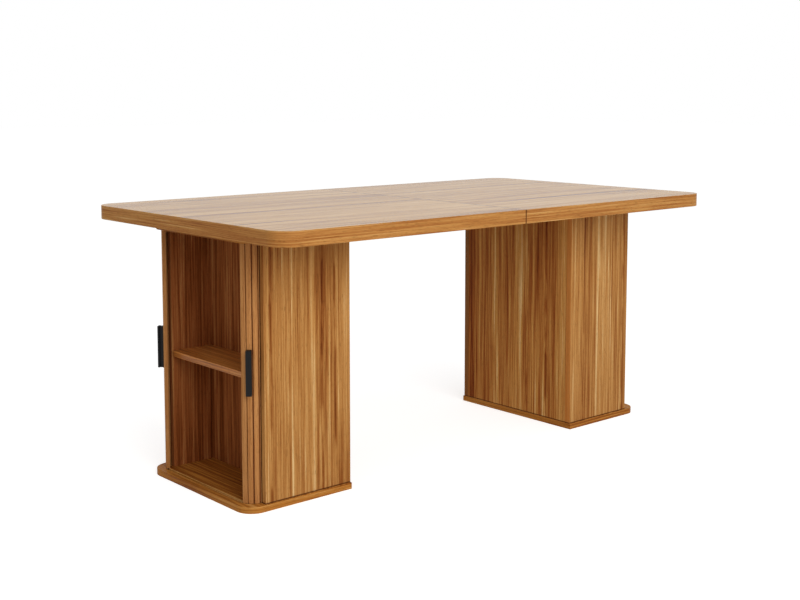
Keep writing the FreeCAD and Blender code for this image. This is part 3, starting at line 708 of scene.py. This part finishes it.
def upright(edge):
    first, second = edge.verts
    return near(first.co.x, second.co.x) and near(first.co.y, second.co.y)


def pull(x=0.0, y=0.0, z=0.0):
    bpy.ops.mesh.extrude_region_move(TRANSFORM_OT_translate={"value": (x, y, z)})


def squeeze(x=1.0, y=1.0, z=1.0):
    bpy.ops.transform.resize(value=(x, y, z))


def outward():
    # the operator can turn a bent strip inside out, so the volume decides
    bpy.ops.mesh.select_all(action="SELECT")
    bpy.ops.mesh.normals_make_consistent(inside=False)
    if bmesh.from_edit_mesh(bpy.context.object.data).calc_volume(signed=True) < 0:
        bpy.ops.mesh.flip_normals()


def joined(name, master, places, material):
    # copies of one modelled part at several places, as one piece
    copies = []
    for spot in places:
        copy = bpy.data.objects.new(name, master.data.copy())
        bpy.context.scene.collection.objects.link(copy)
        copy.data.transform(spot)
        copies.append(copy)
    bpy.ops.object.select_all(action="DESELECT")
    for copy in copies:
        copy.select_set(True)
    bpy.context.view_layer.objects.active = copies[0]
    if len(copies) > 1:
        bpy.ops.object.join()
    piece = bpy.context.view_layer.objects.active
    piece.name = name
    piece.data.materials.clear()
    piece.data.materials.append(materials[material])
    return piece


def smoothed(piece, degrees=35):
    bpy.ops.object.select_all(action="DESELECT")
    piece.select_set(True)
    bpy.context.view_layer.objects.active = piece
    bpy.ops.object.shade_smooth_by_angle(angle=math.radians(degrees))


def discard(piece):
    bpy.data.objects.remove(piece)


# Roller doors. Slats are counted from the stile, which is the first one.

slatShape = {
    "arris": 0.0018,
    "arrisSteps": 4,
    "tongueInset": 0.001,
    "tongueHalf": 0.004,
    "grooveFrom": 0.5,
}
curtain = {"first": 3, "frontLast": 15, "last": 17}


def modelSlat():
    # drawn about the centre of the track's corner, its outer face towards +X
    middle = ((hingeRadius + slatOuter) / 2, 0, slatMidZ)
    sizes = (slatOuter - hingeRadius, slatWidth, slatHigh.z - slatLow.z)
    slat = startPiece("slat", middle, sizes)
    bpy.ops.object.mode_set(mode="EDIT")
    inset = slatShape["tongueInset"]
    for end, edge in ((slatHigh.z, tailHigh.z), (slatLow.z, tailLow.z)):
        pick("FACE", lambda face: near(face.calc_center_median().z, end))
        bpy.ops.mesh.inset(thickness=inset)
        squeeze(y=slatShape["tongueHalf"] * 2 / (slatWidth - inset * 2))
        pull(z=edge - end)
    pick("EDGE", lambda edge: allAt(edge, "x", slatOuter) and upright(edge))
    bpy.ops.mesh.bevel(offset=slatShape["arris"], segments=slatShape["arrisSteps"])
    bpy.ops.object.mode_set(mode="OBJECT")
    # painted shade: the wood shader darkens the faces that look into the groove between two slats
    groove = slat.data.attributes.new("groove", "FLOAT", "FACE")
    for face in slat.data.polygons:
        groove.data[face.index].value = 1.0 if abs(face.normal.y) > slatShape["grooveFrom"] else 0.0
    return slat


def trackSpot(along, way):
    # place of a slat at a distance along the track from the line where the doors meet
    onCorner = min(max(along - cornerY, 0), quarterTurn)
    inPocket = max(along - cornerY - quarterTurn, 0)
    middle = Matrix.Translation((cornerX - inPocket, way * min(along, cornerY), 0))
    return middle @ Matrix.Rotation(way * onCorner / hingeRadius, 4, "Z")


def slatSpots(place, way, first, last):
    along = [closedEdge + (number - 0.5) * slatPitch for number in range(first, last + 1)]
    return [place @ trackSpot(distance, way) for distance in along]


def jointNamed(name):
    return [joint for joint in frame["joints"] if joint["name"] == name][0]


def carried(piece):
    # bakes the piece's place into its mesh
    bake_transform(piece)


# back and front are the radii of the cloth's two faces round the corner of the track
canvas = {"low": canvasLow.z, "high": canvasHigh.z, "back": 0.0331, "front": 0.0337, "arcSteps": 10}


def modelCanvas(name, first, last):
    # cloth glued behind the slats, from first to last along the track of the far side
    low, high, back, front = canvas["low"], canvas["high"], canvas["back"], canvas["front"]
    thick = front - back
    bent = (min(last, cornerY + quarterTurn) - max(first, cornerY)) / hingeRadius
    if first < cornerY:
        straight = min(last, cornerY)
        middle = (cornerX + back + thick / 2, (first + straight) / 2, (low + high) / 2)
        strip = startPiece(name, middle, (thick, straight - first, high - low))
        turn = bent
        seam = lambda face: near(face.calc_center_median().y, straight)
    else:
        inPocket = last - cornerY - quarterTurn
        middle = (cornerX - inPocket / 2, cornerY + back + thick / 2, (low + high) / 2)
        strip = startPiece(name, middle, (inPocket, thick, high - low))
        turn = -bent
        seam = lambda face: near(face.calc_center_median().x, cornerX)
    if bent > 0:
        bpy.ops.object.mode_set(mode="EDIT")
        pick("FACE", seam)
        centre = (cornerX, cornerY, 0)
        bpy.ops.mesh.spin(steps=canvas["arcSteps"], angle=turn, center=centre, axis=(0, 0, 1))
        outward()
        bpy.ops.object.mode_set(mode="OBJECT")
    return strip


def cloth(name, master, place):
    piece = joined(name, master, [place], "canvasCloth")
    bpy.ops.object.mode_set(mode="EDIT")
    outward()  # a mirrored strip would face inwards
    bpy.ops.object.mode_set(mode="OBJECT")
    smoothed(piece)
    return piece


handle = {
    "low": 0.310,
    "high": 0.430,
    "footWide": 0.0136,
    "footOut": 0.0025,
    "webWide": 0.007,
    "faceWide": 0.0156,
    "faceDeep": 0.0055,
    "round": 0.0014,
    "endRound": 0.001,
    "roundSteps": 4,
}


def modelHandle(tip):
    # foot on the slat, web, and the flange that the fingers pull; all one extrusion
    deep = tip - slatHigh.x
    ends = (handle["low"], handle["high"])
    middle = (slatHigh.x + handle["footOut"] / 2, slatMidY, sum(ends) / 2)
    bar = startPiece("handle", middle, (handle["footOut"], handle["footWide"], ends[1] - ends[0]))
    bpy.ops.object.mode_set(mode="EDIT")
    pick("FACE", lambda face: face.normal.x > facing)
    pull()
    squeeze(y=handle["webWide"] / handle["footWide"])
    pull(x=deep - handle["footOut"] - handle["faceDeep"])
    pull()
    squeeze(y=handle["faceWide"] / handle["webWide"])
    pull(x=handle["faceDeep"])
    pick("EDGE", lambda edge: allAt(edge, "x", tip) and upright(edge))
    bpy.ops.mesh.bevel(offset=handle["round"], segments=handle["roundSteps"])
    flange = tip - handle["faceDeep"] / 2
    pick("EDGE", lambda edge: all(corner.co.x > flange for corner in edge.verts)
         and any(allAt(edge, "z", end) for end in ends))
    bpy.ops.mesh.bevel(offset=handle["endRound"], segments=handle["roundSteps"])
    outward()
    bpy.ops.object.mode_set(mode="OBJECT")
    return bar


def barSpot(prefix, side, way):
    # from the closed far door on the right to the bar of another door, turned about its hinge
    first = Vector(jointNamed("right_far_handle_turn")["pos_m"])
    place = Vector(jointNamed(prefix + "handle_turn")["pos_m"])
    turns = [jointNamed(prefix + name)["range_deg"][1] for name in ("stile_turn", "handle_turn")]
    angle = 0 if side == "right" else math.pi + way * math.radians(sum(turns))
    toHinge = Matrix.Translation((-first.x, way * (slatMidY - first.y) - slatMidY, -first.z))
    return Matrix.Translation(place) @ Matrix.Rotation(angle, 4, "Z") @ toHinge


turned = {"right": Matrix.Identity(4), "left": Matrix.Rotation(math.pi, 4, "Z")}
# side, end, way along the track in the pedestal's own frame
doors = [("right", "near", -1), ("right", "far", 1), ("left", "near", 1), ("left", "far", -1)]
flipped = Matrix.Diagonal((1, -1, 1, 1))
frontFirst = closedEdge + (curtain["first"] - 1) * slatPitch
frontLast = closedEdge + curtain["frontLast"] * slatPitch
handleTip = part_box("right_far_handle")[1].x

slat = modelSlat()
bar = modelHandle(handleTip)
barStrip = modelCanvas("barStrip", slatLow.y, slatHigh.y)
frontStrip = modelCanvas("frontStrip", frontFirst, frontLast)


def slatPiece(name, spots):
    piece = joined(name, slat, spots, "slatWood")
    smoothed(piece)
    return piece


def makeFront(prefix, place, way, mirror):
    # the slats that leave the front as the door opens, and their cloth
    spots = slatSpots(place, way, curtain["first"], curtain["frontLast"])
    slats = slatPiece(prefix + "front_slats", spots)
    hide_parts(prefix + "curtain")
    carried(slats)
    strip = cloth(prefix + "front_canvas", frontStrip, place @ mirror)
    carried(strip)
    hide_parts(prefix + "canvas")


def makeCorner(prefix, place, way, mirror):
    # the slats that stay round the corner, and the cloth from them to the tail
    spots = slatSpots(place, way, curtain["frontLast"] + 1, curtain["last"])
    slats = slatPiece(prefix + "corner_slats", spots)
    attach(slats, "frame")
    low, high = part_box(prefix + "canvas")
    rear = cornerY + quarterTurn + cornerX - min(abs(low.x), abs(high.x))
    rearStrip = modelCanvas("rearStrip", frontLast, rear)
    strip = cloth(prefix + "rear_canvas", rearStrip, place @ mirror)
    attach(strip, "frame")
    discard(rearStrip)


def makeBar(prefix, side, way):
    # the grip, the slat that it is screwed to, and that slat's cloth
    place = barSpot(prefix, side, way)
    grip = joined(prefix + "grip", bar, [place], "handleBlack")
    smoothed(grip)
    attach(grip, prefix + "handle_bar")
    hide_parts(prefix + "handle")
    gripSlat = slatPiece(prefix + "grip_slat", [place @ Matrix.Translation((cornerX, slatMidY, 0))])
    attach(gripSlat, prefix + "handle_bar")
    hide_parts(prefix + "handle_slat")
    strip = cloth(prefix + "bar_canvas", barStrip, place)
    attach(strip, prefix + "handle_bar")


for side, where, way in doors:
    prefix = f"{side}_{where}_"
    away = Matrix.Translation((-frontShift if side == "left" else 0, 0, 0))
    mirror = Matrix.Identity(4) if way == 1 else flipped
    makeFront(prefix, turned[side] @ away, way, mirror)
    makeCorner(prefix, turned[side], way, mirror)
    makeBar(prefix, side, way)
for master in (slat, bar, barStrip, frontStrip):
    discard(master)
print("roller doors made")


# Screws

# each step draws the recess in: how wide at each of the six places, and how far
screw = {
    "sides": 24,
    "head": 0.0042,
    "shank": 0.0022,
    "sink": 0.0026,
    "tip": 0.004,
    "tipShare": 0.1,
    "recess": 0.0024,
    "recessDeep": 0.0016,
    "recessReach": 1.05,
    "recessSteps": ((0.4, 0.72), (0.2, 0.86)),
    "carcassLength": 0.048,
}
# places as (x, y) on the table's right half, which its left half repeats half a turn away
screwRows = {
    "carcass": [(x, y) for x in (0.496, 0.701) for y in (-0.236, 0.236)]
    + [(x, y) for x in (0.629, 0.726) for y in (-0.208, 0.208)]
    + [(0.612, -0.1), (0.612, 0.1), (0.465, -0.15), (0.465, 0.15)],
    "top": [(x, y) for x in (0.650, 0.721) for y in (-0.140, 0.0, 0.140)],
    "rail": [(x, y) for x in (0.060, 0.380) for y in (-0.120, 0.120)],
}


def modelScrew(length):
    # countersunk, head down at z 0, with a recess that is drawn in at six places round it
    bpy.ops.object.select_all(action="DESELECT")
    bpy.ops.mesh.primitive_circle_add(vertices=screw["sides"], radius=screw["head"], fill_type="NGON")
    piece = bpy.context.object
    bpy.ops.object.mode_set(mode="EDIT")
    bpy.ops.mesh.select_all(action="SELECT")
    pull(z=screw["sink"])
    squeeze(*[screw["shank"] / screw["head"]] * 2)
    pull(z=length - screw["sink"] - screw["tip"])
    pull(z=screw["tip"])
    squeeze(screw["tipShare"], screw["tipShare"])
    pick("EDGE", lambda edge: allAt(edge, "z", 0) and edge.is_boundary)
    if any(edge.select for edge in bmesh.from_edit_mesh(piece.data).edges):
        bpy.ops.mesh.edge_face_add()
    pick("FACE", lambda face: allAt(face, "z", 0))
    bpy.ops.mesh.inset(thickness=screw["head"] - screw["recess"])
    inner = screw["recess"] * screw["recessReach"]
    for wide, drawn in screw["recessSteps"]:
        pick("VERT", lambda corner: near(corner.co.z, 0) and corner.co.xy.length < inner
             and abs(math.sin(math.atan2(corner.co.y, corner.co.x) * 3)) > 1 - wide)
        squeeze(drawn, drawn)
    pick("FACE", lambda face: near(face.calc_center_median().z, 0)
         and all(corner.co.xy.length < inner for corner in face.verts))
    pull(z=screw["recessDeep"])
    outward()
    bpy.ops.object.mode_set(mode="OBJECT")
    return piece


def fixings(name, node, length, spots):
    master = modelScrew(length)
    piece = joined(name + "_fixings", master, spots, "screwSteel")
    smoothed(piece)
    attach(piece, "frame")
    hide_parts(node)
    discard(master)


for name in ("top", "rail"):
    low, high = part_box(name + "_screws")
    places = screwRows[name] + [(-x, -y) for x, y in screwRows[name]]
    spots = [Matrix.Translation((x, y, low.z)) for x, y in places]
    fixings(name, name + "_screws", high.z - low.z, spots)
upsideDown = Matrix.Rotation(math.pi, 4, "X")
for side in ("left", "right"):
    low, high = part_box(side + "_carcass_screws")
    rows = screwRows["carcass"]
    spots = [turned[side] @ Matrix.Translation((x, y, low.z)) for x, y in rows]
    spots += [turned[side] @ Matrix.Translation((x, y, high.z)) @ upsideDown for x, y in rows]
    fixings(side, side + "_carcass_screws", screw["carcassLength"], spots)
print("screws made")


# Floor, light and camera

studio = {
    "floorSize": 60.0,
    "floorColour": 0.82,
    "floorSeen": 0.6,
    "floorGlow": 0.7,
    "floorRoughness": 0.9,
    "ambient": 0.52,
    "keyPower": 166.0,
    "keySize": (4.0, 3.0),
    "keyPlace": (-1.1, -4.7, 3.0),
    "overPower": 10.0,
    "overSize": (3.0, 3.0),
    "overPlace": (0.0, 0.0, 4.0),
    "aim": (0.0, 0.0, 0.35),
}
view = {
    "place": (-2.53367, -2.84528, 1.10344),
    "tilt": 84.218,
    "turn": -40.995,
    "lens": 55.417,
    "shift": -0.108,
}


def cameraShare(tree):
    path = addNode(tree, "ShaderNodeLightPath")
    seen = maths(tree, "MAXIMUM", path.outputs["Is Camera Ray"], path.outputs["Is Glossy Ray"])
    return maths(tree, "MAXIMUM", seen, path.outputs["Is Transmission Ray"])


def makeFloor():
    bpy.ops.object.select_all(action="DESELECT")
    bpy.ops.mesh.primitive_plane_add(size=studio["floorSize"])
    floor = bpy.context.object
    floor.name = "floor"
    material, tree, shader = newMaterial("floorPale")
    seen = cameraShare(tree)
    drop = studio["floorSeen"] - studio["floorColour"]
    grey = addNode(tree, "ShaderNodeCombineColor")
    for socket in range(3):
        feed(tree, grey, socket, maths(tree, "MULTIPLY_ADD", seen, drop, studio["floorColour"]))
    tree.links.new(grey.outputs[0], shader.inputs["Base Color"])
    feed(tree, shader, "Roughness", studio["floorRoughness"])
    feed(tree, shader, "Specular IOR Level", 0.0)
    feed(tree, shader, "Emission Color", (1, 1, 1, 1))
    glow = maths(tree, "MULTIPLY", seen, studio["floorGlow"])
    tree.links.new(glow, shader.inputs["Emission Strength"])
    floor.data.materials.append(material)


def makeWorld():
    world = bpy.data.worlds.new("studio")
    bpy.context.scene.world = world
    world.use_nodes = True
    tree = world.node_tree
    background = [node for node in tree.nodes if node.type == "BACKGROUND"][0]
    feed(tree, background, "Color", (1, 1, 1, 1))
    level = maths(tree, "MULTIPLY_ADD", cameraShare(tree), 1 - studio["ambient"], studio["ambient"])
    feed(tree, background, "Strength", level)


def makeLamp(name):
    lamp = bpy.data.lights.new(name + "Light", "AREA")
    lamp.shape = "RECTANGLE"
    lamp.size, lamp.size_y = studio[name + "Size"]
    lamp.energy = studio[name + "Power"]
    holder = bpy.data.objects.new(name + "Light", lamp)
    bpy.context.scene.collection.objects.link(holder)
    holder.location = studio[name + "Place"]
    aim = Vector(studio["aim"]) - holder.location
    holder.rotation_euler = aim.to_track_quat("-Z", "Y").to_euler()
    holder.visible_glossy = False  # no lamp is mirrored in the top


def makeCamera():
    lens = bpy.data.cameras.new("camera")
    lens.lens = view["lens"]
    lens.shift_y = view["shift"]
    camera = bpy.data.objects.new("camera", lens)
    bpy.context.scene.collection.objects.link(camera)
    camera.location = view["place"]
    camera.rotation_euler = (math.radians(view["tilt"]), 0, math.radians(view["turn"]))
    bpy.context.scene.camera = camera


makeFloor()
makeWorld()
makeLamp("key")
makeLamp("over")
makeCamera()
bpy.context.scene.view_settings.view_transform = "Standard"
print("floor, light and camera set")
